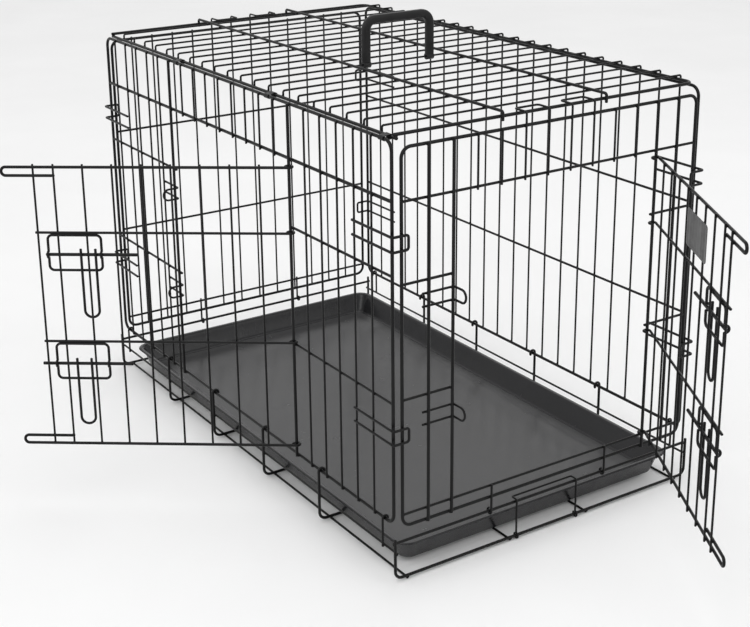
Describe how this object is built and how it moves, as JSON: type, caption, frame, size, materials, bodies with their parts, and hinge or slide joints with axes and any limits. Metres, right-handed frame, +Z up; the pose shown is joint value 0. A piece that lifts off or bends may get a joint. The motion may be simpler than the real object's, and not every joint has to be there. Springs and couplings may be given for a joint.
{
  "type": "wire dog crate",
  "caption": "Folding wire dog crate with a side door and an end door on sliding bolts, a plastic floor tray and a carry handle.",
  "frame": {"origin": "on the ground, under the middle of the base", "axes": "+X along the crate towards its end door, -Y towards its side door, +Z up"},
  "size_m": [1.2957, 0.9185, 0.7341],
  "materials": {
    "black_wire": "satin black enamel on steel wire",
    "tray_plastic": "fine moulded grain, low sheen",
    "handle_plastic": "smooth moulded, slight sheen",
    "plate_metal": "satin black enamel on thin sheet"
  },
  "bodies": {
    "base": {"base_corner_links": "black_wire", "base_cross_wires": "black_wire", "base_end_wires": "black_wire", "base_front_rod": "black_wire", "base_long_wires": "black_wire", "base_rear_rod": "black_wire", "base_side_rods": "black_wire", "end_panel_bolt_keepers": "black_wire", "end_panel_crossbars": "black_wire", "end_panel_frame": "black_wire", "end_panel_hinge_curls": "black_wire", "end_panel_posts": "black_wire", "end_panel_short_wires": "black_wire", "end_panel_top_hooks": "black_wire"},
    "tray": {"tray": "tray_plastic"},
    "tray_stop": {"tray_stop": "black_wire"},
    "side_panel": {"side_panel_bolt_keepers": "black_wire", "side_panel_corner_hooks": "black_wire", "side_panel_crossbars": "black_wire", "side_panel_frame": "black_wire", "side_panel_posts": "black_wire", "side_panel_short_wires": "black_wire", "side_panel_wires": "black_wire"},
    "side_door": {"side_door_rods": "black_wire", "side_door_crossbars": "black_wire", "side_door_wires": "black_wire", "side_door_bolt_guides": "black_wire"},
    "back_panel": {"back_panel_corner_hooks": "black_wire", "back_panel_crossbars": "black_wire", "back_panel_frame": "black_wire", "back_panel_wires": "black_wire"},
    "rear_panel": {"rear_panel_crossbars": "black_wire", "rear_panel_frame": "black_wire", "rear_panel_hinge_curls": "black_wire", "rear_panel_top_hooks": "black_wire", "rear_panel_wires": "black_wire"},
    "end_door": {"end_door_rods": "black_wire", "end_door_crossbars": "black_wire", "end_door_wires": "black_wire", "end_door_bolt_guides": "black_wire", "end_door_plate": "plate_metal"},
    "top_panel": {"top_panel_clips": "black_wire", "top_panel_cross_wires": "black_wire", "top_panel_frame": "black_wire", "top_panel_near_rod": "black_wire", "top_panel_stiffeners": "black_wire"},
    "carry_handle": {"carry_handle": "handle_plastic"},
    "side_door_upper_bolt": {"side_door_upper_bolt": "black_wire"},
    "side_door_upper_bolt_handle": {"side_door_upper_bolt_handle": "black_wire"},
    "side_door_lower_bolt": {"side_door_lower_bolt": "black_wire"},
    "side_door_lower_bolt_handle": {"side_door_lower_bolt_handle": "black_wire"},
    "end_door_upper_bolt": {"end_door_upper_bolt": "black_wire"},
    "end_door_upper_bolt_handle": {"end_door_upper_bolt_handle": "black_wire"},
    "end_door_lower_bolt": {"end_door_lower_bolt": "black_wire"},
    "end_door_lower_bolt_handle": {"end_door_lower_bolt_handle": "black_wire"}
  },
  "joints": [
    {"name": "side_door_hinge", "type": "hinge", "parent": "side_panel", "child": "side_door", "pos_m": [0.19575, -0.2828, 0.326], "axis": [0, 0, 1], "range_deg": [-54, 106]},
    {"name": "end_door_hinge", "type": "hinge", "parent": "base", "child": "end_door", "pos_m": [0.46815, 0.18519, 0.326], "axis": [0, 0, 1], "range_deg": [-61, 99]},
    {"name": "side_door_upper_bolt_slide", "type": "slide", "parent": "side_door", "child": "side_door_upper_bolt", "axis": [-0.5878, -0.809, 0], "range_m": [0, 0.045]},
    {"name": "side_door_upper_bolt_handle_turn", "type": "hinge", "parent": "side_door_upper_bolt", "child": "side_door_upper_bolt_handle", "pos_m": [-0.01452, -0.58243, 0.418], "axis": [-0.5878, -0.809, 0], "range_deg": [0, 160]},
    {"name": "side_door_lower_bolt_slide", "type": "slide", "parent": "side_door", "child": "side_door_lower_bolt", "axis": [-0.5878, -0.809, 0], "range_m": [-0.018, 0.027]},
    {"name": "side_door_lower_bolt_handle_turn", "type": "hinge", "parent": "side_door_lower_bolt", "child": "side_door_lower_bolt_handle", "pos_m": [-0.0251, -0.59699, 0.242], "axis": [-0.5878, -0.809, 0], "range_deg": [0, 160]},
    {"name": "end_door_upper_bolt_slide", "type": "slide", "parent": "end_door", "child": "end_door_upper_bolt", "axis": [0.8746, -0.4848, 0], "range_m": [0, 0.045]},
    {"name": "end_door_upper_bolt_handle_turn", "type": "hinge", "parent": "end_door_upper_bolt", "child": "end_door_upper_bolt_handle", "pos_m": [0.7727, 0.02324, 0.418], "axis": [0.8746, -0.4848, 0], "range_deg": [0, 160]},
    {"name": "end_door_lower_bolt_slide", "type": "slide", "parent": "end_door", "child": "end_door_lower_bolt", "axis": [0.8746, -0.4848, 0], "range_m": [0, 0.045]},
    {"name": "end_door_lower_bolt_handle_turn", "type": "hinge", "parent": "end_door_lower_bolt", "child": "end_door_lower_bolt_handle", "pos_m": [0.7727, 0.02324, 0.242], "axis": [0.8746, -0.4848, 0], "range_deg": [0, 160]},
    {"name": "tray_slide", "type": "slide", "parent": "base", "child": "tray", "axis": [1, 0, 0], "range_m": [0, 0.009]},
    {"name": "tray_stop_turn", "type": "hinge", "parent": "base", "child": "tray_stop", "pos_m": [0.46775, -0.006, 0.00565], "axis": [0, 1, 0], "range_deg": [0, 90]},
    {"name": "rear_panel_fold", "type": "hinge", "parent": "base", "child": "rear_panel", "pos_m": [-0.46335, 0, 0.06], "axis": [0, -1, 0], "range_deg": [-90, 0], "deforming": ["rear_panel_top_hooks"]},
    {"name": "back_panel_fold", "type": "hinge", "parent": "base", "child": "back_panel", "pos_m": [0, 0.278, 0.087], "axis": [-1, 0, 0], "range_deg": [-78, 0], "deforming": ["back_panel_corner_hooks"]},
    {"name": "side_panel_fold", "type": "hinge", "parent": "base", "child": "side_panel", "pos_m": [0, -0.278, 0.087], "axis": [-1, 0, 0], "range_deg": [0, 75], "deforming": ["side_panel_corner_hooks"]},
    {"name": "top_panel_hinge", "type": "hinge", "parent": "side_panel", "child": "top_panel", "pos_m": [0, -0.278, 0.646], "axis": [1, 0, 0], "range_deg": [0, 174], "deforming": ["end_panel_top_hooks"]},
    {"name": "carry_handle_turn", "type": "hinge", "parent": "top_panel", "child": "carry_handle", "pos_m": [0.06525, 0, 0.6561], "axis": [0, 1, 0], "range_deg": [-75, 75]}
  ],
  "couplings": [
    {"joint": "top_panel_hinge", "follows": "side_panel_fold", "ratio": 2.3}
  ]
}
